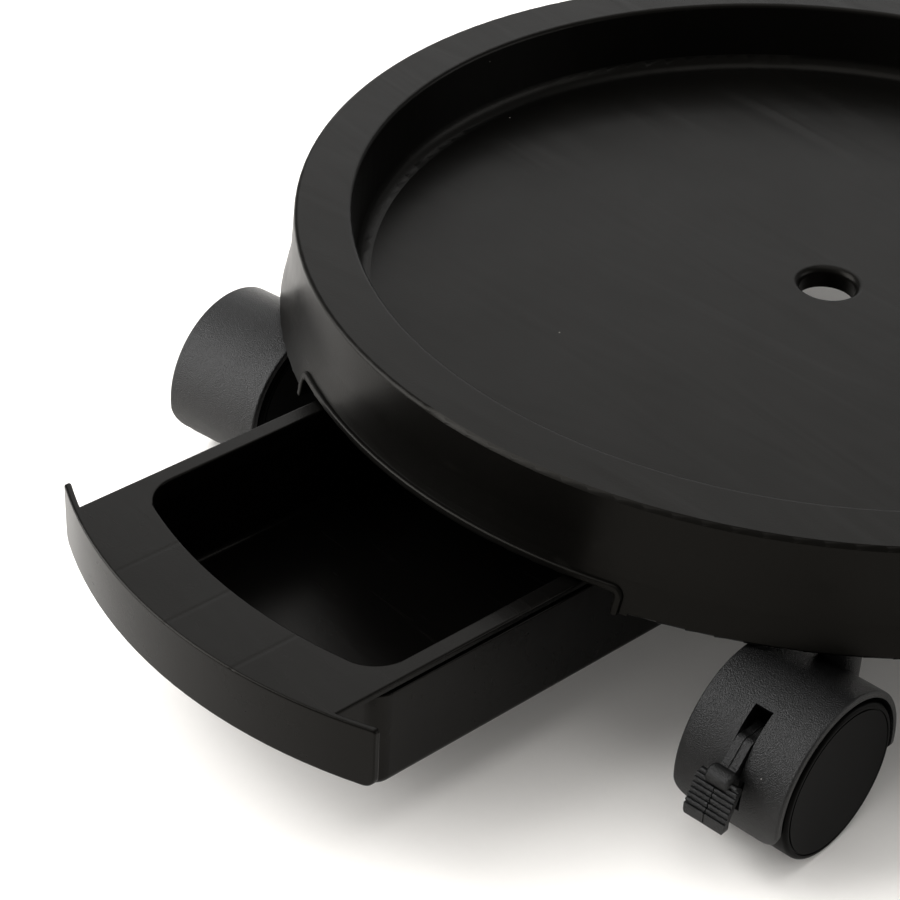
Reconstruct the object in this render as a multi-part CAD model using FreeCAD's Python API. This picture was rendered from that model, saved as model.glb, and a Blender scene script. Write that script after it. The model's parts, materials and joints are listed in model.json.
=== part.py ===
import FreeCAD, Part
import math
import os
from FreeCAD import Vector

# Plant pot caddy: a round moulded tray on four twin-wheel casters, with a water drawer below it.
# Millimetres, +Z up. The origin is the middle of the tray floor, where the pot stands.
# The drawer pulls out towards -Y, and is drawn here part way out.

# ---- overall height -------------------------------------------------------------------------
rim_top = 24.5
ground = -65.5
axle_height = 25.0

# ---- tray -----------------------------------------------------------------------------------
rim_outer_radius = 178.0
rim_inner_radius = 159.3
skirt_knee_radius = 179.2
skirt_knee = 4.0
skirt_knee_rounding = 55.0
skirt_bottom_radius = 182.7
skirt_bottom = -11.2
floor_edge_radius = 157.2
floor_underside = -2.3
tray_wall = 2.6
rim_thickness = 2.8
drain_radius = 9.5
drain_depth = 7.6
drain_wall = 2.2

# ---- cut-out in the skirt -------------------------------------------------------------------
cutout_half_width = 69.5
cutout_top = -5.0
cutout_corner = 1.5
cutout_frame = 4.6
cutout_frame_depth = 3.2
bead_width = 2.4
bead_height = 1.2
bead_rounding = 0.7

# ---- ribs under the tray --------------------------------------------------------------------
rib_thickness = 2.0
rim_rib_bottom = -4.0
floor_rib_bottom = -8.3
floor_rib_start = 84.0

# ---- drawer ---------------------------------------------------------------------------------
drawer_top = -6.0
flange_thickness = 2.0
flange_half_width = 59.1
collar_wall = 3.2
collar_half_width = 56.4
collar_bottom = -12.8
ledge_top = -10.6
ledge_half_width = 58.3
box_wall = 2.6
box_corner = 7.0
box_bottom = -44.7
box_draft = 1.2
box_floor = 2.6
opening_half_width = collar_half_width - collar_wall
opening_front = -250.7
opening_front_radius = 163.8
opening_rear = -39.7
opening_corner = 13.0
flange_rear = -32.7
stop_ear_length = 8.0
stop_ear_half_width = 60.8
panel_front = -274.3
panel_radius = 166.6
panel_thickness = 2.2
panel_half_width = 71.2
panel_bottom = -26.6
panel_corner = 3.5
notch_half_width = 14.0
notch_depth = 4.2
notch_corner = 2.0
gusset_angle = 10.0
gusset_thickness = 1.8
gusset_bottom = -20.2

# ---- drawer rails ---------------------------------------------------------------------------
rail_front = -143.0
rail_rear = 60.5
rail_wall_inner = 61.3
rail_wall_outer = 63.5
rail_lip_inner = 56.9
rail_lip_top = -8.3
rail_lip_bottom = -10.3
rail_tab_top = -10.2
rail_tab_bottom = -12.6
rail_tab_half_length = 8.0
rail_tab_outer = 76.0
rail_end_stop = 58.2
rail_stop_front = -103.0
rail_stop_rear = -99.2
rail_stop_inner = 59.6
screw_line = 69.5
screw_places = (-118.0, -28.0, 48.0)
screw_radius = 1.7
screw_head_radius = 3.4
screw_head_height = 2.1
screw_length = 9.0
boss_radius = 4.3

# ---- caster layout --------------------------------------------------------------------------
swivel_radius = 173.0
swivel_half_angle = 43.5
trail = 21.7
caster_headings = {
    "front_right": 6.0,
    "front_left": 10.5,
    "rear_right": -14.0,
    "rear_left": 9.0,
}
braked_casters = ("front_right", "rear_left")

# ---- caster parts ---------------------------------------------------------------------------
hood_radius = 28.5
hood_wall = 2.0
hood_half_width = 18.25
hood_front_angle = 108.0
hood_rear_angle = 101.0
web_half_width = 5.0
axle_hub_radius = 8.0
wheel_radius = 25.0
wheel_inner_face = 6.8
wheel_outer_face = 18.75
wheel_rim = 3.0
wheel_disc = 2.8
wheel_hub_radius = 7.5
wheel_ribs = 6
axle_radius = 3.5
axle_groove_place = 12.5
neck_radius = 6.2
neck_top = -11.5
neck_bottom = -37.5
stem_radius = 4.0
stem_bottom = -34.0
stem_top = 9.0
ring_place = 5.0
ring_height = 1.6
socket_radius = 5.6
socket_flange_radius = 6.6
socket_flange = 1.2
socket_top = 10.0
socket_boss_radius = 8.6
socket_boss_bottom = -10.0
running_gap = 0.05

# ---- brake ----------------------------------------------------------------------------------
slot_half_width = 3.0
slot_top_angle = 30.0
slot_bottom_angle = 92.0
slot_mouth_half_width = 5.0
slot_mouth_angle = 72.5
lever_half_width = 2.6
lever_pivot = (-15.0, 13.0)
lever_pin_radius = 1.5
lever_hub_radius = 3.4
brake_bar_offset = (2.9, 2.75)
brake_bar_radius = 1.5
brake_bar_half_length = 10.0
stem_emerges = 46.5
stem_end = (-27.9, 12.4)
knuckle_centre = (-31.2, 9.8)
knuckle_radius = 3.1
knuckle_half_width = 4.3
tab_half_width = 7.0
tab_top = (-33.0, 11.2)
tab_bend = (-38.0, 0.8)
tab_bottom = (-38.1, -3.2)
tab_top_corner = 2.2
tab_bottom_corner = 2.6
tab_thickness = 2.3
tab_ridges = 7
tab_groove_width = 0.7
tab_groove_depth = 0.7
seam_half_width = 0.2
seam_depth = 0.3

axle_z = ground + axle_height


def rounded_wire(corners, place):
    """A closed wire through corners (u, v, radius), set in space by place(u, v)."""
    points = [Vector(u, v, 0) for u, v, radius in corners]
    stations = []
    for index, (u, v, radius) in enumerate(corners):
        here = points[index]
        back = (points[index - 1] - here).normalize()
        ahead = (points[(index + 1) % len(points)] - here).normalize()
        if radius <= 0:
            stations.append((here, None, here))
            continue
        half = back.getAngle(ahead) / 2
        reach = radius / math.tan(half)
        middle_way = (back + ahead).normalize()
        summit = here + middle_way * (radius / math.sin(half) - radius)
        stations.append((here + back * reach, summit, here + ahead * reach))
    edges = []
    for index, (start, summit, end) in enumerate(stations):
        if summit is not None:
            edges.append(Part.Arc(place(start.x, start.y), place(summit.x, summit.y), place(end.x, end.y)).toShape())
        following = stations[(index + 1) % len(stations)][0]
        if end.distanceToPoint(following) > 1e-6:
            edges.append(Part.makeLine(place(end.x, end.y), place(following.x, following.y)))
    return Part.Wire(edges)


def revolve_profile(corners):
    """A solid of revolution about the caddy's axis from corners (radius, height, rounding)."""
    face = Part.Face(rounded_wire(corners, lambda r, z: Vector(r, 0, z)))
    return face.revolve(Vector(0, 0, 0), Vector(0, 0, 1), 360)


def about_axle(corners, from_angle=0.0, to_angle=360.0):
    """Revolve corners (x, radius, rounding) about the axle. Angles run from the top to the rear."""
    face = Part.Face(rounded_wire(corners, lambda x, r: Vector(x, -trail, axle_z + r)))
    centre = Vector(0, -trail, axle_z)
    face.rotate(centre, Vector(1, 0, 0), -from_angle)
    return face.revolve(centre, Vector(-1, 0, 0), to_angle - from_angle)


def extrude_side_view(corners, half_width):
    """Extrude corners (forward, up, rounding), counted from the axle, across the caster."""
    wire = rounded_wire(corners, lambda f, h: Vector(-half_width, f - trail, axle_z + h))
    return Part.Face(wire).extrude(Vector(2 * half_width, 0, 0))


def extrude_front_view(corners, y_low, y_high):
    """Extrude corners (x, z, rounding) along Y."""
    wire = rounded_wire(corners, lambda x, z: Vector(x, y_low, z))
    return Part.Face(wire).extrude(Vector(0, y_high - y_low, 0))


def box_between(low, high):
    """A box from its lowest corner to its highest."""
    size = Vector(*high) - Vector(*low)
    return Part.makeBox(size.x, size.y, size.z, Vector(*low))


def upright_cylinder(radius, low, high, x=0.0, y=0.0):
    """A cylinder along Z."""
    return Part.makeCylinder(radius, high - low, Vector(x, y, low))


def cross_cylinder(radius, half_length, forward=0.0, up=0.0):
    """A cylinder along the axle's direction, placed from the axle in the caster's side view."""
    return Part.makeCylinder(
        radius, 2 * half_length, Vector(-half_length, forward - trail, axle_z + up), Vector(1, 0, 0)
    )


def edges_where(shape, test):
    """The edges of a shape whose middle point and length pass the test."""
    chosen = []
    for edge in shape.Edges:
        middle = edge.valueAt((edge.FirstParameter + edge.LastParameter) / 2)
        if test(middle, edge):
            chosen.append(edge)
    return chosen


# ---- tray -----------------------------------------------------------------------------------
def skirt_radius(z):
    """Outer radius of the skirt at a height: nearly upright above its knee and flared below it."""
    if z > skirt_knee:
        share = (rim_top - z) / (rim_top - skirt_knee)
        return rim_outer_radius + (skirt_knee_radius - rim_outer_radius) * share
    share = (skirt_knee - z) / (skirt_knee - skirt_bottom)
    return skirt_knee_radius + (skirt_bottom_radius - skirt_knee_radius) * share


def skirt_corners(inset, low, high):
    """The skirt's side from a low height to a high one, at a depth below its outer face."""
    return [
        (skirt_radius(low) - inset, low, 0.0),
        (skirt_knee_radius - inset, skirt_knee, skirt_knee_rounding),
        (skirt_radius(high) - inset, high, 0.0),
    ]


def tray_shell():
    """Floor, drain spout, inner wall, flat rim and skirt, as one turned section."""
    under_rim = rim_top - rim_thickness
    return revolve_profile([
        (drain_radius, 0.0, 2.4),
        (floor_edge_radius, 0.0, 5.0),
        (rim_inner_radius, rim_top, 1.6),
        (rim_outer_radius, rim_top, 1.4),
        (skirt_knee_radius, skirt_knee, skirt_knee_rounding),
        (skirt_bottom_radius, skirt_bottom, 0.9),
        (skirt_bottom_radius - tray_wall, skirt_bottom, 0.5),
        (skirt_knee_radius - tray_wall, skirt_knee, skirt_knee_rounding),
        (skirt_radius(under_rim) - tray_wall, under_rim, 1.5),
        (rim_inner_radius + tray_wall, under_rim, 1.5),
        (floor_edge_radius + tray_wall, floor_underside, 2.0),
        (drain_radius + drain_wall + 0.4, floor_underside, 1.2),
        (drain_radius + drain_wall, -drain_depth, 0.7),
        (drain_radius, -drain_depth, 0.5),
    ])


def cutout_prism(extra, y_low, y_high):
    """The cut-out's outline, grown by a margin on its top and sides, extruded along Y."""
    half = cutout_half_width + extra
    top = cutout_top + extra
    low = skirt_bottom - 20.0
    corner = cutout_corner + extra
    return extrude_front_view(
        [(-half, low, 0.0), (half, low, 0.0), (half, top, corner), (-half, top, corner)], y_low, y_high
    )


def skirt_band(outset, inset):
    """A ring that follows the skirt, from a height above its outer face in to a depth below it."""
    outer = skirt_corners(-outset, skirt_bottom, 12.0)
    inner = skirt_corners(inset, skirt_bottom, 12.0)
    return revolve_profile(outer + inner[::-1])


def with_cutout(tray):
    """Cut the drawer's way through the skirt, with a frame inside it and a raised bead outside."""
    frame = cutout_prism(cutout_frame, -200.0, -150.0).common(skirt_band(0.0, tray_wall + cutout_frame_depth))
    bead = cutout_prism(bead_width, -200.0, -150.0).common(skirt_band(bead_height, tray_wall / 2))
    tray = tray.fuse([frame, bead]).cut(cutout_prism(0.0, -200.0, -150.0))

    def on_bead(middle, edge):
        crest = abs(math.hypot(middle.x, middle.y) - skirt_radius(middle.z) - bead_height) < 0.02
        return crest and middle.y < 0 and skirt_bottom + 0.5 < middle.z < 0

    return tray.makeFillet(bead_rounding, edges_where(tray, on_bead))


def rim_ribs():
    """Radial ribs that stiffen the hollow rim, clear of the cut-out and the caster bosses."""
    ribs = []
    for step in range(24):
        angle = 7.5 + step * 15.0
        from_front = abs((angle - 270.0 + 180.0) % 360.0 - 180.0)
        from_boss = min(abs(from_front - swivel_half_angle), abs(180.0 - from_front - swivel_half_angle))
        if from_front < 26.0 or from_boss < 4.0:
            continue
        rib = extrude_front_view([
            (rim_inner_radius, rim_top - 1.5, 0.0),
            (rim_inner_radius, rim_rib_bottom, 0.0),
            (skirt_radius(rim_rib_bottom) - 1.0, rim_rib_bottom, 0.0),
            (skirt_radius(rim_top) - 1.5, rim_top - 1.5, 0.0),
        ], -rib_thickness / 2, rib_thickness / 2)
        rib.rotate(Vector(0, 0, 0), Vector(0, 0, 1), angle)
        ribs.append(rib)
    return ribs


def floor_ribs():
    """Radial ribs under the floor, outside the drawer's bay."""
    ribs = []
    for side in (0.0, 180.0):
        for step in range(-2, 3):
            angle = step * 14.0
            start = floor_rib_start / math.cos(math.radians(angle))
            rib = extrude_front_view([
                (start, floor_underside + 1.0, 0.0),
                (start + 6.0, floor_rib_bottom, 3.0),
                (floor_edge_radius + 1.0, floor_rib_bottom, 0.0),
                (floor_edge_radius + 1.0, floor_underside + 1.0, 0.0),
            ], -rib_thickness / 2, rib_thickness / 2)
            rib.rotate(Vector(0, 0, 0), Vector(0, 0, 1), angle + side)
            ribs.append(rib)
    return ribs


def swivel_place(corner):
    """Where a caster's swivel axis meets the tray."""
    side = 1.0 if corner.endswith("right") else -1.0
    end = -1.0 if corner.startswith("front") else 1.0
    angle = math.radians(swivel_half_angle)
    return Vector(side * swivel_radius * math.sin(angle), end * swivel_radius * math.cos(angle), 0)


def make_tray():
    """The moulded tray with its sockets, ribs and screw bosses."""
    added = rim_ribs() + floor_ribs()
    holes = []
    for corner in caster_headings:
        place = swivel_place(corner)
        added.append(upright_cylinder(socket_boss_radius, socket_boss_bottom, rim_top - 1.5, place.x, place.y))
        holes.append(upright_cylinder(socket_radius, socket_boss_bottom - 1.0, socket_top + 0.4, place.x, place.y))
    for side in (-1.0, 1.0):
        for y in screw_places:
            added.append(upright_cylinder(boss_radius, rail_tab_top, floor_underside + 1.0, side * screw_line, y))
            holes.append(upright_cylinder(
                screw_radius + running_gap, rail_tab_top - 1.0, floor_underside - 0.2, side * screw_line, y
            ))
    side = skirt_corners(1.0, skirt_bottom - 1.0, rim_top - 1.0)
    keep = revolve_profile([(0.0, skirt_bottom - 1.0, 0.0)] + side + [(0.0, rim_top - 1.0, 0.0)])
    trimmed = [piece.common(keep) for piece in added]
    return with_cutout(tray_shell()).fuse(trimmed).cut(holes).removeSplitter()


# ---- drawer ---------------------------------------------------------------------------------
def bay_outline(half_width, front, front_radius, rear, corner, back_corner, z):
    """A drawer outline in plan: straight sides, a bowed front and rounded corners."""
    centre_y = front + front_radius
    corner_x = half_width - corner
    corner_y = centre_y - math.sqrt((front_radius - corner) ** 2 - corner_x ** 2)
    reach = front_radius / (front_radius - corner)
    meet_x = corner_x * reach
    meet_y = centre_y + (corner_y - centre_y) * reach
    turn = math.atan2(half_width - corner_x, 0.0) - math.atan2(meet_x - corner_x, corner_y - meet_y)
    bulge = math.atan2(meet_x - corner_x, corner_y - meet_y) + turn / 2
    mid_x = corner_x + corner * math.sin(bulge)
    mid_y = corner_y - corner * math.cos(bulge)
    back_x = half_width - back_corner
    back_y = rear - back_corner
    diagonal = back_corner * math.sqrt(0.5)

    def at(x, y):
        return Vector(x, y, z)

    edges = [
        Part.Arc(at(-meet_x, meet_y), at(0, front), at(meet_x, meet_y)).toShape(),
        Part.Arc(at(meet_x, meet_y), at(mid_x, mid_y), at(half_width, corner_y)).toShape(),
        Part.makeLine(at(half_width, corner_y), at(half_width, back_y)),
        Part.Arc(at(half_width, back_y), at(back_x + diagonal, back_y + diagonal), at(back_x, rear)).toShape(),
        Part.makeLine(at(back_x, rear), at(-back_x, rear)),
        Part.Arc(at(-back_x, rear), at(-back_x - diagonal, back_y + diagonal), at(-half_width, back_y)).toShape(),
        Part.makeLine(at(-half_width, back_y), at(-half_width, corner_y)),
        Part.Arc(at(-half_width, corner_y), at(-mid_x, mid_y), at(-meet_x, meet_y)).toShape(),
    ]
    return Part.Wire(edges)


def drawer_tub(margin, corner, top, bottom):
    """A body on the opening's outline grown by a margin, with draft, between two heights."""
    wires = []
    for z in (top, bottom):
        draft = box_draft * (drawer_top - z) / (drawer_top - box_bottom)
        grow = margin - draft
        wires.append(bay_outline(
            opening_half_width + grow, opening_front - grow, opening_front_radius + grow,
            opening_rear + grow, corner - draft, corner - draft, z
        ))
    return Part.makeLoft(wires, True, True)


def panel_ring(outer, inner, low, high):
    """An upright ring about the front panel's centre of curvature."""
    centre_y = panel_front + panel_radius
    ring = upright_cylinder(outer, low, high, 0.0, centre_y)
    return ring.cut(upright_cylinder(inner, low - 1.0, high + 1.0, 0.0, centre_y))


def drawer_panel():
    """The curved front panel, with rounded lower corners."""
    ring = panel_ring(panel_radius, panel_radius - panel_thickness, panel_bottom, drawer_top)
    face = extrude_front_view([
        (-panel_half_width, panel_bottom, panel_corner),
        (panel_half_width, panel_bottom, panel_corner),
        (panel_half_width, drawer_top, 1.2),
        (-panel_half_width, drawer_top, 1.2),
    ], panel_front - 5.0, panel_front + 30.0)
    panel = ring.common(face)

    def long_top(middle, edge):
        return edge.Length > 50 and middle.z > drawer_top - 0.05

    return panel.makeFillet(0.7, edges_where(panel, long_top))


def drawer_flange():
    """The flat top flange, from the panel back to the stop ears."""
    low = drawer_top - flange_thickness
    ear_front = flange_rear - stop_ear_length
    plate = box_between((-flange_half_width, panel_front, low), (flange_half_width, ear_front + 1.0, drawer_top))
    plate = plate.common(upright_cylinder(
        panel_radius - panel_thickness / 2, low, drawer_top, 0.0, panel_front + panel_radius
    ).fuse(box_between((-80.0, -120.0, low), (80.0, 0.0, drawer_top))))

    def long_side(middle, edge):
        return edge.Length > 100 and abs(middle.x) > flange_half_width - 0.1 and middle.z > drawer_top - 0.05

    plate = plate.makeFillet(0.8, edges_where(plate, long_side))
    ears = Part.Face(rounded_wire([
        (-stop_ear_half_width, ear_front, 0.8),
        (stop_ear_half_width, ear_front, 0.8),
        (stop_ear_half_width, flange_rear, 3.0),
        (-stop_ear_half_width, flange_rear, 3.0),
    ], lambda x, y: Vector(x, y, low))).extrude(Vector(0, 0, flange_thickness))
    return plate.fuse(ears)


def drawer_gussets():
    """Three gussets between the tub's front wall and the panel."""
    half = gusset_thickness / 2
    gussets = []
    for angle in (-gusset_angle, 0.0, gusset_angle):
        gusset = box_between((-half, -panel_radius + 1.0, gusset_bottom), (half, -panel_radius + 22.0, drawer_top - 1.0))
        gusset.rotate(Vector(0, 0, 0), Vector(0, 0, 1), angle)
        gusset.translate(Vector(0, panel_front + panel_radius, 0))
        gussets.append(gusset)
    return gussets


def box_body():
    """The tub's outside: a narrow collar that the rails reach round, and the box below its ledge."""
    collar = drawer_tub(collar_wall, opening_corner + collar_wall, drawer_top, ledge_top)
    box = drawer_tub(ledge_half_width - opening_half_width, box_corner, ledge_top, box_bottom)

    def bottom_edge(middle, edge):
        return abs(middle.z - box_bottom) < 0.05

    def ledge_edge(middle, edge):
        return abs(middle.z - ledge_top) < 0.05

    box = box.makeFillet(3.0, edges_where(box, bottom_edge))
    box = box.makeFillet(0.6, edges_where(box, ledge_edge))
    return collar.fuse(box)


def box_hollow():
    """The tub's inside: the mouth through the collar, and the wider room below it."""
    mouth = drawer_tub(0.0, opening_corner, drawer_top, collar_bottom)
    inner_margin = ledge_half_width - opening_half_width - box_wall
    low = box_bottom + box_floor
    room = drawer_tub(inner_margin, box_corner - box_wall, collar_bottom, low)

    def room_bottom(middle, edge):
        return abs(middle.z - low) < 0.05

    return mouth.fuse(room.makeFillet(2.0, edges_where(room, room_bottom)))


def make_drawer():
    """The water drawer: tub, flange, front panel and the notch that clears the drain spout."""
    body = box_body().fuse([drawer_flange(), drawer_panel()] + drawer_gussets()).cut(box_hollow())

    def mouth_edge(middle, edge):
        return (abs(middle.z - drawer_top) < 0.02 and abs(middle.x) < opening_half_width + 0.05
                and opening_front - 0.05 < middle.y < opening_rear + 0.05)

    body = body.makeFillet(0.8, edges_where(body, mouth_edge))
    notch = extrude_front_view([
        (-notch_half_width, drawer_top + 1.0, 0.0),
        (-notch_half_width, drawer_top - notch_depth, notch_corner),
        (notch_half_width, drawer_top - notch_depth, notch_corner),
        (notch_half_width, drawer_top + 1.0, 0.0),
    ], opening_rear - 8.0, flange_rear + 1.0)
    return body.cut(notch).removeSplitter()


# ---- drawer rails ---------------------------------------------------------------------------
def make_rail(side):
    """One drawer rail: a channel for the flange, a lip under it, stops and screw tabs."""
    wall = box_between(
        (rail_wall_inner, rail_front, rail_tab_bottom), (rail_wall_outer, rail_rear, floor_underside)
    )
    lip = box_between(
        (rail_lip_inner, rail_front, rail_lip_bottom), (rail_wall_outer, rail_rear, rail_lip_top)
    )
    end_stop = box_between(
        (rail_lip_inner, rail_end_stop, rail_lip_bottom), (rail_wall_outer, rail_rear, floor_underside)
    )
    pull_stop = box_between(
        (rail_stop_inner, rail_stop_front, rail_lip_bottom), (rail_wall_outer, rail_stop_rear, floor_underside)
    )
    rail = wall.fuse([lip, end_stop, pull_stop])
    for y in screw_places:
        tab = box_between(
            (rail_wall_outer - 0.5, y - rail_tab_half_length, rail_tab_bottom),
            (rail_tab_outer, y + rail_tab_half_length, rail_tab_top),
        )

        def outer_corner(middle, edge):
            return middle.x > rail_tab_outer - 0.1 and abs(edge.Length - (rail_tab_top - rail_tab_bottom)) < 0.01

        tab = tab.makeFillet(4.0, edges_where(tab, outer_corner))
        hole = upright_cylinder(screw_radius + 0.3, rail_tab_bottom - 1.0, rail_tab_top + 1.0, screw_line, y)
        rail = rail.fuse(tab).cut(hole)

    def lip_lead_in(middle, edge):
        return abs(middle.x - rail_lip_inner) < 0.05 and abs(middle.y - rail_front) < 0.05

    rail = rail.makeChamfer(1.2, edges_where(rail, lip_lead_in)).removeSplitter()
    if side < 0:
        rail = rail.mirror(Vector(0, 0, 0), Vector(1, 0, 0))
    return rail


def make_screw(x, y):
    """A pan-head screw with a cross recess, driven up through a rail tab."""
    head_low = rail_tab_bottom - screw_head_height
    head = upright_cylinder(screw_head_radius, head_low, rail_tab_bottom)

    def crown(middle, edge):
        return abs(middle.z - head_low) < 0.01 and edge.Length > 3

    head = head.makeFillet(1.2, edges_where(head, crown))
    shank_top = rail_tab_bottom + screw_length
    shank = upright_cylinder(screw_radius, rail_tab_bottom, shank_top - 1.5)
    point = Part.makeCone(screw_radius, 0.4, 1.5, Vector(0, 0, shank_top - 1.5))
    arm = box_between((-2.0, -0.4, head_low - 0.5), (2.0, 0.4, head_low + 1.0))
    other_arm = box_between((-0.4, -2.0, head_low - 0.5), (0.4, 2.0, head_low + 1.0))
    screw = head.fuse([shank, point]).cut([arm, other_arm]).removeSplitter()
    screw.translate(Vector(x, y, 0))
    return screw


# ---- casters --------------------------------------------------------------------------------
def caster_hood():
    """The curved hood over both wheels, with rounded corners at its lower edges."""
    inner = hood_radius - hood_wall
    hood = about_axle([
        (-hood_half_width, inner, 0.0),
        (hood_half_width, inner, 0.0),
        (hood_half_width, hood_radius, 0.0),
        (-hood_half_width, hood_radius, 0.0),
    ], -hood_front_angle, hood_rear_angle)

    def front_corner_edge(middle, edge):
        return abs(edge.Length - hood_wall) < 0.01 and middle.y < -trail

    def rear_corner_edge(middle, edge):
        return abs(edge.Length - hood_wall) < 0.01 and middle.y > -trail

    hood = hood.makeFillet(6.0, edges_where(hood, front_corner_edge))
    hood = hood.makeFillet(3.0, edges_where(hood, rear_corner_edge))

    def outer_edge(middle, edge):
        out = math.hypot(middle.y + trail, middle.z - axle_z)
        return abs(out - hood_radius) < 0.02

    return hood.makeFillet(0.8, edges_where(hood, outer_edge))


def caster_web():
    """The web between the wheels, with the hub that holds the axle."""
    inner = hood_radius - hood_wall
    web = about_axle([
        (-web_half_width, 0.0, 0.0),
        (web_half_width, 0.0, 0.0),
        (web_half_width, inner + 0.5, 0.0),
        (-web_half_width, inner + 0.5, 0.0),
    ], -88.0, 96.0)
    return web.fuse(cross_cylinder(axle_hub_radius, wheel_inner_face - 0.5))


def brake_pocket():
    """The hood's slot and the room inside the web that the lever swings in."""
    slot = about_axle([
        (-slot_half_width, 20.0, 0.0),
        (slot_half_width, 20.0, 0.0),
        (slot_half_width, hood_radius + 3.0, 0.0),
        (-slot_half_width, hood_radius + 3.0, 0.0),
    ], -slot_bottom_angle, -slot_top_angle)
    room = extrude_side_view([
        (-30.0, -2.0, 0.0), (-8.5, 5.0, 2.0), (-4.5, 20.0, 2.0), (-14.0, 25.0, 0.0), (-30.0, 14.0, 0.0)
    ], slot_half_width)
    room = room.common(about_axle([
        (-slot_half_width, 0.0, 0.0),
        (slot_half_width, 0.0, 0.0),
        (slot_half_width, hood_radius - hood_wall, 0.0),
        (-slot_half_width, hood_radius - hood_wall, 0.0),
    ], -slot_bottom_angle, -10.0))
    bar_f = lever_pivot[0] + brake_bar_offset[0]
    bar_h = lever_pivot[1] + brake_bar_offset[1]
    window = extrude_side_view([
        (bar_f - 2.6, bar_h - 1.9, 1.0),
        (bar_f + 1.9, bar_h - 1.9, 1.0),
        (bar_f + 1.9, bar_h + 2.6, 1.0),
        (bar_f - 2.6, bar_h + 2.6, 1.0),
    ], web_half_width + 1.0)
    mouth = about_axle([
        (-slot_mouth_half_width, 20.0, 0.0),
        (slot_mouth_half_width, 20.0, 0.0),
        (slot_mouth_half_width, hood_radius + 3.0, 0.0),
        (-slot_mouth_half_width, hood_radius + 3.0, 0.0),
    ], -slot_bottom_angle, -slot_mouth_angle)
    return slot.fuse([room, window, mouth])


def make_caster_body(braked):
    """Hood, web and neck of a caster as one moulding."""
    neck = upright_cylinder(neck_radius, neck_bottom, neck_top)

    def neck_rim(middle, edge):
        return edge.Length > 10 and abs(middle.z - neck_top) < 0.01

    neck = neck.makeFillet(0.8, edges_where(neck, neck_rim))
    body = caster_hood().fuse([caster_web(), neck])
    body = body.cut(upright_cylinder(stem_radius, stem_bottom, neck_top + 1.0))
    body = body.cut(cross_cylinder(axle_radius, wheel_inner_face + 5.0))
    if braked:
        body = body.cut(brake_pocket())
        body = body.cut(cross_cylinder(lever_pin_radius, 4.4, lever_pivot[0], lever_pivot[1]))
    return body.removeSplitter()


def make_stem():
    """The steel stem, with a groove for its grip ring and a rounded top."""
    corners = [
        (0.0, stem_bottom, 0.0),
        (stem_radius, stem_bottom, 0.4),
        (stem_radius, ring_place - ring_height / 2 - 0.05, 0.0),
        (stem_radius - 0.8, ring_place - ring_height / 2 - 0.05, 0.0),
        (stem_radius - 0.8, ring_place + ring_height / 2 + 0.05, 0.0),
        (stem_radius, ring_place + ring_height / 2 + 0.05, 0.0),
        (stem_radius, stem_top, 1.4),
        (0.0, stem_top, 0.0),
    ]
    return revolve_profile(corners)


def make_grip_ring():
    """The split spring ring that snaps the stem into its socket."""
    ring = revolve_profile([
        (stem_radius - 0.7, ring_place - ring_height / 2, 0.0),
        (stem_radius + 0.55, ring_place - ring_height / 2, 0.4),
        (stem_radius + 0.55, ring_place + ring_height / 2, 0.4),
        (stem_radius - 0.7, ring_place + ring_height / 2, 0.0),
    ])
    return ring.cut(box_between((0.0, -0.8, ring_place - 2.0), (8.0, 0.8, ring_place + 2.0)))


def make_stem_socket():
    """The sleeve in the tray's boss that the stem turns in."""
    bore = stem_radius + running_gap
    return revolve_profile([
        (bore, socket_boss_bottom - socket_flange, 0.3),
        (socket_flange_radius, socket_boss_bottom - socket_flange, 0.5),
        (socket_flange_radius, socket_boss_bottom, 0.0),
        (socket_radius, socket_boss_bottom, 0.0),
        (socket_radius, socket_top, 0.0),
        (bore, socket_top, 0.0),
        (bore, ring_place + ring_height / 2 + 0.15, 0.0),
        (stem_radius + 0.7, ring_place + ring_height / 2 + 0.15, 0.0),
        (stem_radius + 0.7, ring_place - ring_height / 2 - 0.15, 0.0),
        (bore, ring_place - ring_height / 2 - 0.15, 0.0),
    ])


def make_axle():
    """The steel axle, with a groove near each end that keeps a wheel on."""
    end = wheel_outer_face - wheel_disc - 0.4
    groove = axle_groove_place
    half = [
        (0.0, axle_radius, 0.0),
        (groove - 0.6, axle_radius, 0.0),
        (groove - 0.6, axle_radius - 0.5, 0.0),
        (groove + 0.6, axle_radius - 0.5, 0.0),
        (groove + 0.6, axle_radius, 0.0),
        (end, axle_radius, 0.9),
        (end, 0.0, 0.0),
    ]
    right = about_axle([(0.0, 0.0, 0.0)] + half)
    left = right.mirror(Vector(0, 0, 0), Vector(1, 0, 0))
    return right.fuse(left).removeSplitter()


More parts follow.
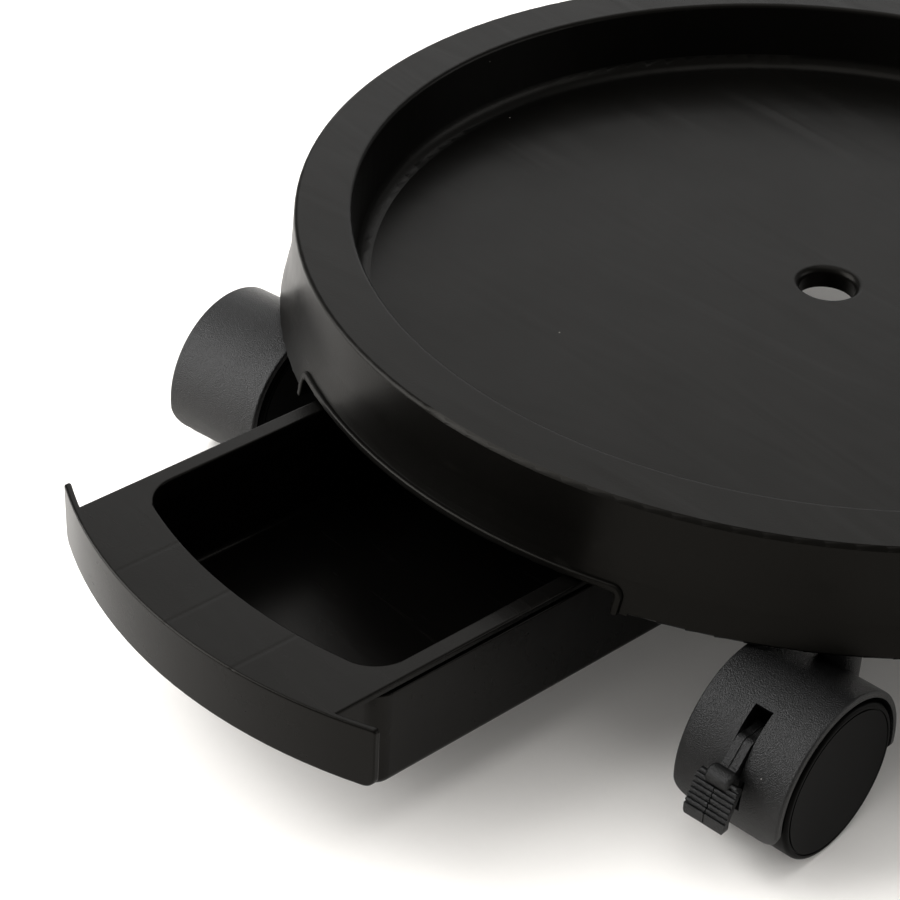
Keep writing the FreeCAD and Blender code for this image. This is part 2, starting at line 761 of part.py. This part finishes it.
def make_wheel(side):
    """One wheel: a closed outer disc with a tread rim, a hub and ribs on its inner side."""
    bore = axle_radius + running_gap
    disc_inner = wheel_outer_face - wheel_disc
    hub_face = wheel_inner_face + 0.6
    cup = about_axle([
        (wheel_inner_face, wheel_radius - wheel_rim, 0.3),
        (disc_inner, wheel_radius - wheel_rim, 1.0),
        (disc_inner, wheel_hub_radius, 1.0),
        (hub_face, wheel_hub_radius, 0.4),
        (hub_face, bore, 0.0),
        (axle_groove_place - 0.5, bore, 0.0),
        (axle_groove_place - 0.5, bore - 0.3, 0.0),
        (axle_groove_place + 0.5, bore - 0.3, 0.0),
        (axle_groove_place + 0.5, bore, 0.0),
        (disc_inner - 0.2, bore, 0.0),
        (disc_inner - 0.2, 0.0, 0.0),
        (wheel_outer_face, 0.0, 0.0),
        (wheel_outer_face, wheel_radius - 2.2, 0.0),
        (wheel_outer_face - 0.35, wheel_radius - 2.1, 0.0),
        (wheel_outer_face - 0.35, wheel_radius - 1.8, 0.0),
        (wheel_outer_face - 0.05, wheel_radius - 1.65, 0.0),
        (wheel_outer_face - 0.05, wheel_radius, 1.3),
        (wheel_inner_face, wheel_radius, 0.9),
    ])
    ribs = []
    for index in range(wheel_ribs):
        rib = box_between(
            (wheel_inner_face + 4.0, -0.8, wheel_hub_radius - 1.0), (disc_inner + 0.5, 0.8, wheel_radius - 1.5)
        )
        rib.rotate(Vector(0, 0, 0), Vector(1, 0, 0), index * 360.0 / wheel_ribs)
        rib.translate(Vector(0, -trail, axle_z))
        ribs.append(rib)
    wheel = cup.fuse(ribs).removeSplitter()
    if side < 0:
        wheel = wheel.mirror(Vector(0, 0, 0), Vector(1, 0, 0))
    return wheel


# ---- brake ----------------------------------------------------------------------------------
def on_hood(angle, radius):
    """A point of the caster's side view at an angle forward of the top and a radius from the axle."""
    turn = math.radians(angle)
    return -radius * math.sin(turn), radius * math.cos(turn)


def lever_arm():
    """The arm's side view: out through the hood's slot, straight down to the knuckle, and back to the pivot."""
    return [
        on_hood(stem_emerges, 26.0) + (2.0,),
        on_hood(stem_emerges + 3.5, hood_radius + 0.5) + (3.0,),
        stem_end + (0.8,),
        (knuckle_centre[0], knuckle_centre[1] + 1.2, 0.5),
        (knuckle_centre[0] - 1.3, knuckle_centre[1] - 1.8, 1.0),
        (knuckle_centre[0] + 0.2, knuckle_centre[1] - 4.3, 1.5),
        on_hood(80.0, 25.0) + (2.0,),
        (lever_pivot[0] - 1.0, lever_pivot[1] - lever_hub_radius, 1.5),
        (lever_pivot[0] + 3.0, lever_pivot[1] - 2.0, 1.0),
        (lever_pivot[0] + 2.0, lever_pivot[1] + 5.0, 1.0),
    ]


def tab_outline():
    """The thumb tab's side view: grooves across its sloping face and a plain upright lip at its foot."""
    top, bend, foot = [Vector(f, h, 0) for f, h in (tab_top, tab_bend, tab_bottom)]
    along = (bend - top).normalize()
    out = Vector(along.y, -along.x, 0)
    pitch = (top.distanceToPoint(bend) - 0.3) / tab_ridges
    points = [(top - out * tab_thickness, 0.8), (top, 0.6)]
    for index in range(tab_ridges):
        middle = top + along * (pitch * (index + 0.85))
        points.append((middle - along * (tab_groove_width * 0.5), 0.32))
        points.append((middle - along * (tab_groove_width * 0.25) - out * tab_groove_depth, 0.1))
        points.append((middle + along * (tab_groove_width * 0.25) - out * tab_groove_depth, 0.1))
        points.append((middle + along * (tab_groove_width * 0.5), 0.32 if index < tab_ridges - 1 else 0.1))
    points.append((bend, 0.0))
    points.append((foot, 0.9))
    points.append((foot + Vector(tab_thickness, 0, 0), 0.9))
    points.append((bend + Vector(tab_thickness, 0, 0), 2.0))
    return [(point.x, point.y, radius) for point, radius in points]


def tab_front():
    """The thumb tab's front view, with rounded corners, run through its depth."""
    low = axle_z + tab_bottom[1] - 0.5
    high = axle_z + tab_top[1] + 0.2
    return extrude_front_view([
        (-tab_half_width, low, tab_bottom_corner),
        (tab_half_width, low, tab_bottom_corner),
        (tab_half_width, high, tab_top_corner),
        (-tab_half_width, high, tab_top_corner),
    ], -trail - 45.0, -trail - 20.0)


def seamed(outline, half_width):
    """Extrude an outline in two halves that leave a fine seam groove along the middle."""
    wire = rounded_wire(outline, lambda f, h: Vector(-half_width, f - trail, axle_z + h))
    core = Part.Face(wire.makeOffset2D(-seam_depth, 2)).extrude(Vector(2 * half_width, 0, 0))
    half = Part.Face(wire).extrude(Vector(half_width - seam_half_width, 0, 0))
    other = half.mirror(Vector(0, 0, 0), Vector(1, 0, 0))
    return [core, half, other]


def make_brake_lever():
    """The brake lever: pivot hub, arm, knuckle, ribbed thumb tab and the bar that locks the wheels."""
    tab = [piece.common(tab_front()) for piece in seamed(tab_outline(), tab_half_width)]
    hub = cross_cylinder(lever_hub_radius, lever_half_width, lever_pivot[0], lever_pivot[1])
    knuckle = cross_cylinder(knuckle_radius, knuckle_half_width, knuckle_centre[0], knuckle_centre[1])

    def knuckle_rim(middle, edge):
        return edge.Length > 5 and abs(abs(middle.x) - knuckle_half_width) < 0.01

    knuckle = knuckle.makeFillet(1.4, edges_where(knuckle, knuckle_rim))
    bar = cross_cylinder(
        brake_bar_radius, brake_bar_half_length,
        lever_pivot[0] + brake_bar_offset[0], lever_pivot[1] + brake_bar_offset[1]
    )
    arm = seamed(lever_arm(), lever_half_width)
    lever = tab[0].fuse(tab[1:]).fuse(arm + [hub, knuckle, bar])
    return lever.cut(cross_cylinder(
        lever_pin_radius + running_gap, 20.0, lever_pivot[0], lever_pivot[1]
    )).removeSplitter()


def make_lever_pin():
    """The pin that the brake lever turns on."""
    return cross_cylinder(lever_pin_radius, 4.4, lever_pivot[0], lever_pivot[1])


# ---- assembly -------------------------------------------------------------------------------
def caster_parts(corner):
    """Every piece of one caster, drawn straight ahead under the origin."""
    braked = corner in braked_casters
    parts = {
        "caster_body": make_caster_body(braked),
        "caster_stem": make_stem(),
        "grip_ring": make_grip_ring(),
        "axle": make_axle(),
        "left_wheel": make_wheel(-1.0),
        "right_wheel": make_wheel(1.0),
    }
    if braked:
        parts["brake_lever"] = make_brake_lever()
        parts["lever_pin"] = make_lever_pin()
    return parts


def write_part(name, shape):
    """Write one sub-part and print what it is."""
    os.makedirs("parts", exist_ok=True)
    shape.exportStep("parts/" + name + ".step")
    box = shape.BoundBox
    print(name, len(shape.Solids), shape.isValid(), round(shape.Volume, 1),
          [round(v, 1) for v in (box.XMin, box.YMin, box.ZMin, box.XMax, box.YMax, box.ZMax)])


def main():
    """Build and write every sub-part."""
    write_part("tray", make_tray())
    write_part("drawer", make_drawer())
    write_part("left_rail", make_rail(-1.0))
    write_part("right_rail", make_rail(1.0))
    screws = [make_screw(side * screw_line, y) for side in (-1.0, 1.0) for y in screw_places]
    write_part("rail_screws", Part.makeCompound(screws))
    for corner, heading in caster_headings.items():
        place = swivel_place(corner)
        socket = make_stem_socket()
        socket.translate(place)
        write_part(corner + "_stem_socket", socket)
        for name, shape in caster_parts(corner).items():
            shape.rotate(Vector(0, 0, 0), Vector(0, 0, 1), heading)
            shape.translate(place)
            write_part(corner + "_" + name, shape)


main()
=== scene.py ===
import json
import math

import bpy
from mathutils import Matrix, Vector


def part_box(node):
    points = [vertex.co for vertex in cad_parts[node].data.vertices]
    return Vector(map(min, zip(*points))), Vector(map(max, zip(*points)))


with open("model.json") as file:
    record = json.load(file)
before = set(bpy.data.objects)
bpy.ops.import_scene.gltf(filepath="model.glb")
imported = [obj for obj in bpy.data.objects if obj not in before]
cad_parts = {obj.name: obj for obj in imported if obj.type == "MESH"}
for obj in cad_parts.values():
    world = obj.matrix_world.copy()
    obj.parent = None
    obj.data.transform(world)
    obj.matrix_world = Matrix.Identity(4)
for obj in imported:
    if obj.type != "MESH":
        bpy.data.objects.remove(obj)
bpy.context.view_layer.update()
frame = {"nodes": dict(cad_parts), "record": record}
nodes = frame["nodes"]
scene = bpy.context.scene

# Lengths are in metres, noise scales are per metre, and angles are in radians where nothing else is said.
DRAWER_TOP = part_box("drawer")[1].z
GROUND = min(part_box(name)[0].z for name in nodes if name.endswith("_wheel"))
FLOOR_HALF = 12.0
FLOOR_GAP = 0.0002

# Most values of a noise lie between these two.
NOISE_LOW, NOISE_HIGH = 0.3, 0.7

# Plastic: the tone's spread, rubbed streaks, dust, uneven gloss, waves and flow marks.
CLOUD_DARK, CLOUD_LIGHT = 0.7, 1.3
STREAK_STRETCH, STREAK_TURN = (30.0, 500.0, 200.0), 0.6
RUBBED_LOW, RUBBED_HIGH = 0.62, 0.78
RUBBED_SHARE, RUBBED_LIGHT, RUBBED_ROUGHNESS = 0.4, 3.0, 0.04
DUST_SCALE, DUST_CORE, DUST_EDGE, DUST_RARITY = 120.0, 0.015, 0.04, 0.975
DUST_TINT = (1.0, 0.96, 0.88)
GLOSS_DRIFT = 0.03
WAVE_HEIGHT = 0.0004
FLOW_STRETCH, FLOW_TURN, FLOW_WARP = (9.0, 42.0, 20.0), 0.9, 1.2
PLASTIC_IOR = 1.5
NEUTRAL = (1.0, 1.0, 1.0)
WARM = (1.0, 0.955, 0.87)

# The sunk lines on the drawer's flange, and how far under the flange's top they still count.
SUNK_SPREAD = 0.027
SUNK_HALF_WIDTH = 0.0013
SUNK_DEPTH = 0.00008
SUNK_REACH = 0.0004

# Steel: the tone's spread, the roughness it adds, and the turned rings.
STEEL_DARK, STEEL_LIGHT = 0.8, 1.15
STEEL_DRIFT = 0.15
RING_STRETCH, RING_HEIGHT = (40.0, 40.0, 3000.0), 0.00001


# ---- materials ------------------------------------------------------------------------------
class Nodes:
    """Short calls for building one material's node tree."""

    def __init__(self, name):
        self.material = bpy.data.materials.new(name)
        self.material.use_nodes = True
        self.tree = self.material.node_tree
        self.shader = self.tree.nodes["Principled BSDF"]

    def add(self, kind, inputs=None, **settings):
        """Add a node. An input is a socket to link from, or a value."""
        node = self.tree.nodes.new(kind)
        for key, value in settings.items():
            setattr(node, key, value)
        for key, value in (inputs or {}).items():
            if isinstance(value, bpy.types.NodeSocket):
                self.tree.links.new(value, node.inputs[key])
            else:
                node.inputs[key].default_value = value
        return node

    def place(self):
        return self.add("ShaderNodeTexCoord").outputs["Object"]

    def noise(self, place, scale, detail=4.0, rough=0.5, distortion=0.0):
        return self.add("ShaderNodeTexNoise", {
            "Vector": place, "Scale": scale, "Detail": detail, "Roughness": rough, "Distortion": distortion
        }).outputs["Fac"]

    def stretched(self, place, scale, turn=0.0):
        return self.add("ShaderNodeMapping", {
            "Vector": place, "Scale": scale, "Rotation": (0.0, 0.0, turn)
        }).outputs["Vector"]

    def ramp(self, value, low, high, to_low=0.0, to_high=1.0, smooth=True):
        return self.add("ShaderNodeMapRange", {
            0: value, 1: low, 2: high, 3: to_low, 4: to_high
        }, interpolation_type="SMOOTHSTEP" if smooth else "LINEAR").outputs[0]

    def math(self, operation, a, b=0.0):
        return self.add("ShaderNodeMath", {0: a, 1: b}, operation=operation).outputs[0]

    def mix_colour(self, share, a, b):
        """Mix two colours. Inputs 6 and 7 and output 2 are the node's colour sockets."""
        return self.add("ShaderNodeMix", {0: share, 6: a, 7: b}, data_type="RGBA").outputs[2]

    def bump(self, height, distance, normal=None):
        inputs = {"Height": height, "Distance": distance, "Strength": 1.0}
        if normal is not None:
            inputs["Normal"] = normal
        return self.add("ShaderNodeBump", inputs).outputs["Normal"]

    def link(self, value, socket):
        self.tree.links.new(value, self.shader.inputs[socket])


def shade(colour, factor):
    """The colour made lighter or darker by a factor, with its alpha."""
    return tuple(min(1.0, v * factor) for v in colour) + (1.0,)


def plastic(name, colour, roughness, specular, tint, grain, grain_scale, flow=0.0, dust=0.0, sunk=False):
    """Moulded plastic with a cloudy tone, uneven gloss, faint rubbed streaks, soft waves and fine grain.

    grain and flow are the heights of the grain and of the broad flow marks, dust is the tone of a few
    specks, and sunk adds the lines on the drawer's flange. Flow marks and dust are left out at zero.
    """
    n = Nodes(name)
    place = n.place()
    cloud = n.noise(place, scale=9.0, rough=0.6)
    tone = n.mix_colour(cloud, shade(colour, CLOUD_DARK), shade(colour, CLOUD_LIGHT))
    streak = n.noise(n.stretched(place, STREAK_STRETCH, STREAK_TURN), scale=1.0, detail=3.0, rough=0.6)
    rubbed = n.ramp(streak, RUBBED_LOW, RUBBED_HIGH)
    tone = n.mix_colour(n.math("MULTIPLY", rubbed, RUBBED_SHARE), tone, shade(colour, RUBBED_LIGHT))
    if dust:
        cells = n.add("ShaderNodeTexVoronoi", {"Vector": place, "Scale": DUST_SCALE})
        near = n.ramp(cells.outputs["Distance"], DUST_CORE, DUST_EDGE, 1.0, 0.0)
        chosen = n.add("ShaderNodeSeparateColor", {"Color": cells.outputs["Color"]}).outputs[0]
        speck = n.math("MULTIPLY", near, n.math("GREATER_THAN", chosen, DUST_RARITY))
        tone = n.mix_colour(speck, tone, shade(DUST_TINT, dust))
    n.link(tone, "Base Color")
    patch = n.noise(place, scale=22.0, detail=5.0, rough=0.6)
    smoothest, roughest = roughness - GLOSS_DRIFT, roughness + GLOSS_DRIFT
    gloss = n.ramp(patch, NOISE_LOW, NOISE_HIGH, smoothest, roughest, smooth=False)
    n.link(n.math("ADD", gloss, n.math("MULTIPLY", rubbed, RUBBED_ROUGHNESS)), "Roughness")
    normal = n.bump(n.noise(place, scale=14.0, detail=2.0), WAVE_HEIGHT)
    if flow:
        along = n.stretched(place, FLOW_STRETCH, FLOW_TURN)
        drift = n.noise(along, scale=1.0, detail=2.0, rough=0.4, distortion=FLOW_WARP)
        normal = n.bump(drift, flow, normal)
    if sunk:
        normal = n.bump(sunk_lines(n, place), SUNK_DEPTH, normal)
    n.link(n.bump(n.noise(place, scale=grain_scale, detail=2.0, rough=0.6), grain, normal), "Normal")
    n.shader.inputs["Specular IOR Level"].default_value = specular
    n.shader.inputs["Specular Tint"].default_value = tint + (1.0,)
    n.shader.inputs["IOR"].default_value = PLASTIC_IOR
    return n.material


def sunk_lines(n, place):
    """Height of the drawer's flange, faintly sunk along lines above the three gussets behind its panel."""
    apart = n.add("ShaderNodeSeparateXYZ", {"Vector": place}).outputs
    turns = n.math("DIVIDE", apart[0], SUNK_SPREAD)
    nearest = n.math("MAXIMUM", n.math("MINIMUM", n.math("ROUND", turns), 1.0), -1.0)
    away = n.math("MULTIPLY", n.math("ABSOLUTE", n.math("SUBTRACT", turns, nearest)), SUNK_SPREAD)
    level = n.ramp(away, 0.0, SUNK_HALF_WIDTH)
    below_flange = n.math("LESS_THAN", apart[2], DRAWER_TOP - SUNK_REACH)
    return n.math("MAXIMUM", level, below_flange)


def steel(name, colour, roughness):
    """Zinc-plated steel with a mottled tone and fine turned rings."""
    n = Nodes(name)
    place = n.place()
    mottle = n.noise(place, scale=260.0)
    n.link(n.mix_colour(mottle, shade(colour, STEEL_DARK), shade(colour, STEEL_LIGHT)), "Base Color")
    uneven = n.ramp(mottle, NOISE_LOW, NOISE_HIGH, roughness, roughness + STEEL_DRIFT, smooth=False)
    n.link(uneven, "Roughness")
    rings = n.noise(n.stretched(place, RING_STRETCH), scale=1.0, detail=2.0)
    n.link(n.bump(rings, RING_HEIGHT), "Normal")
    n.shader.inputs["Metallic"].default_value = 1.0
    return n.material


MATERIALS = {
    "body_plastic": plastic(
        "body_plastic", (0.0015, 0.0014, 0.0012), roughness=0.32, specular=0.066, tint=WARM,
        grain=0.00003, grain_scale=1600.0, flow=0.0004, dust=0.2
    ),
    "drawer_plastic": plastic(
        "drawer_plastic", (0.0012, 0.0011, 0.0010), roughness=0.26, specular=0.075, tint=WARM,
        grain=0.00003, grain_scale=1600.0, flow=0.0002, dust=0.2, sunk=True
    ),
    "hood_plastic": plastic(
        "hood_plastic", (0.0006, 0.0006, 0.0006), roughness=0.30, specular=0.24, tint=NEUTRAL,
        grain=0.0003, grain_scale=2600.0, dust=0.15
    ),
    "wheel_plastic": plastic(
        "wheel_plastic", (0.0007, 0.0007, 0.0007), roughness=0.34, specular=0.02, tint=(1.0, 0.97, 0.9),
        grain=0.00001, grain_scale=1600.0, dust=0.05
    ),
    "socket_plastic": plastic(
        "socket_plastic", (0.165, 0.155, 0.13), roughness=0.4, specular=0.4, tint=NEUTRAL,
        grain=0.00001, grain_scale=1600.0
    ),
    "zinc_steel": steel("zinc_steel", (0.55, 0.55, 0.57), roughness=0.28),
}
for entry in frame["record"]["subparts"]:
    target = nodes[entry["node"]]
    target.data.materials.clear()
    target.data.materials.append(MATERIALS[entry["material_slot"]])
# The drawer is glossier than the tray, which has the same slot.
nodes["drawer"].data.materials[0] = MATERIALS["drawer_plastic"]


# ---- floor, light and camera ----------------------------------------------------------------
def make_floor():
    """The pale paper the caddy stands on."""
    mesh = bpy.data.meshes.new("studio_floor")
    half = FLOOR_HALF
    z = GROUND - FLOOR_GAP
    corners = [(-half, -half, z), (half, -half, z), (half, half, z), (-half, half, z)]
    mesh.from_pydata(corners, [], [(0, 1, 2, 3)])
    floor = bpy.data.objects.new("studio_floor", mesh)
    scene.collection.objects.link(floor)
    n = Nodes("studio_paper")
    place = n.place()
    fibre = n.noise(place, scale=400.0, detail=3.0)
    n.link(n.mix_colour(fibre, (0.94, 0.915, 0.88, 1.0), (0.96, 0.935, 0.90, 1.0)), "Base Color")
    n.link(n.bump(fibre, 0.00002), "Normal")
    n.shader.inputs["Roughness"].default_value = 0.8
    mesh.materials.append(n.material)


# Azimuth from +X and elevation in degrees, then distance, width, depth, and brightness in W/(m2 sr).
LIGHTS = {
    "over": (135.8, 90.0, 1.6, 1.4, 1.4, 1.7),
    "left_low": (225.8, 14.0, 2.2, 1.7, 1.0, 9.8),
    "left_high": (225.8, 42.0, 2.0, 1.5, 1.0, 7.7),
    "back_low": (135.8, 14.0, 2.2, 1.7, 1.0, 1.0),
    "back_high": (135.8, 42.0, 2.0, 1.5, 1.0, 2.0),
    "back_top": (135.8, 66.0, 1.8, 1.0, 1.0, 0.6),
    "right_low": (45.8, 14.0, 2.2, 1.7, 1.0, 2.4),
    "front_left_high": (270.8, 42.0, 2.0, 1.5, 1.0, 0.3),
}
WORLD_COLOUR, WORLD_STRENGTH = (1.0, 0.99, 0.975, 1.0), 0.41


def soft_light(name, azimuth, elevation, distance, width, depth, brightness):
    """A soft panel that faces the caddy and that the camera doesn't see."""
    turn, rise = math.radians(azimuth), math.radians(elevation)
    level = distance * math.cos(rise)
    where = Vector((level * math.cos(turn), level * math.sin(turn), distance * math.sin(rise)))
    light = bpy.data.lights.new(name, "AREA")
    light.shape = "RECTANGLE"
    light.size = width
    light.size_y = depth
    light.energy = math.pi * width * depth * brightness
    holder = bpy.data.objects.new(name, light)
    holder.location = where
    holder.rotation_euler = (-where).to_track_quat("-Z", "Y").to_euler()
    holder.visible_camera = False
    scene.collection.objects.link(holder)


make_floor()
world = bpy.data.worlds.new("studio_world")
world.use_nodes = True
background = world.node_tree.nodes["Background"]
background.inputs["Color"].default_value = WORLD_COLOUR
background.inputs["Strength"].default_value = WORLD_STRENGTH
scene.world = world
for light_name, light_values in LIGHTS.items():
    soft_light(light_name, *light_values)

# The photo's viewpoint: the camera's place and the turns in degrees about Z, X and Z that aim it.
# CAMERA_TURN then carries it a little way round the caddy's upright axis.
CAMERA_PLACE = (0.4545, -0.6133, 0.4578)
CAMERA_AIM = (45.83, 54.69, 2.82)
CAMERA_TURN = math.radians(0.9)
camera_data = bpy.data.cameras.new("camera")
camera_data.lens = 105.5
camera_data.sensor_width = 36.0
camera_data.clip_start = 0.01
camera = bpy.data.objects.new("camera", camera_data)
heading, tilt, roll = (math.radians(angle) for angle in CAMERA_AIM)
view_turn = Matrix.Rotation(heading, 4, "Z") @ Matrix.Rotation(tilt, 4, "X") @ Matrix.Rotation(roll, 4, "Z")
view_place = Matrix.Translation(CAMERA_PLACE)
camera.matrix_world = Matrix.Rotation(CAMERA_TURN, 4, "Z") @ view_place @ view_turn
scene.collection.objects.link(camera)
scene.camera = camera
scene.view_settings.view_transform = "Standard"
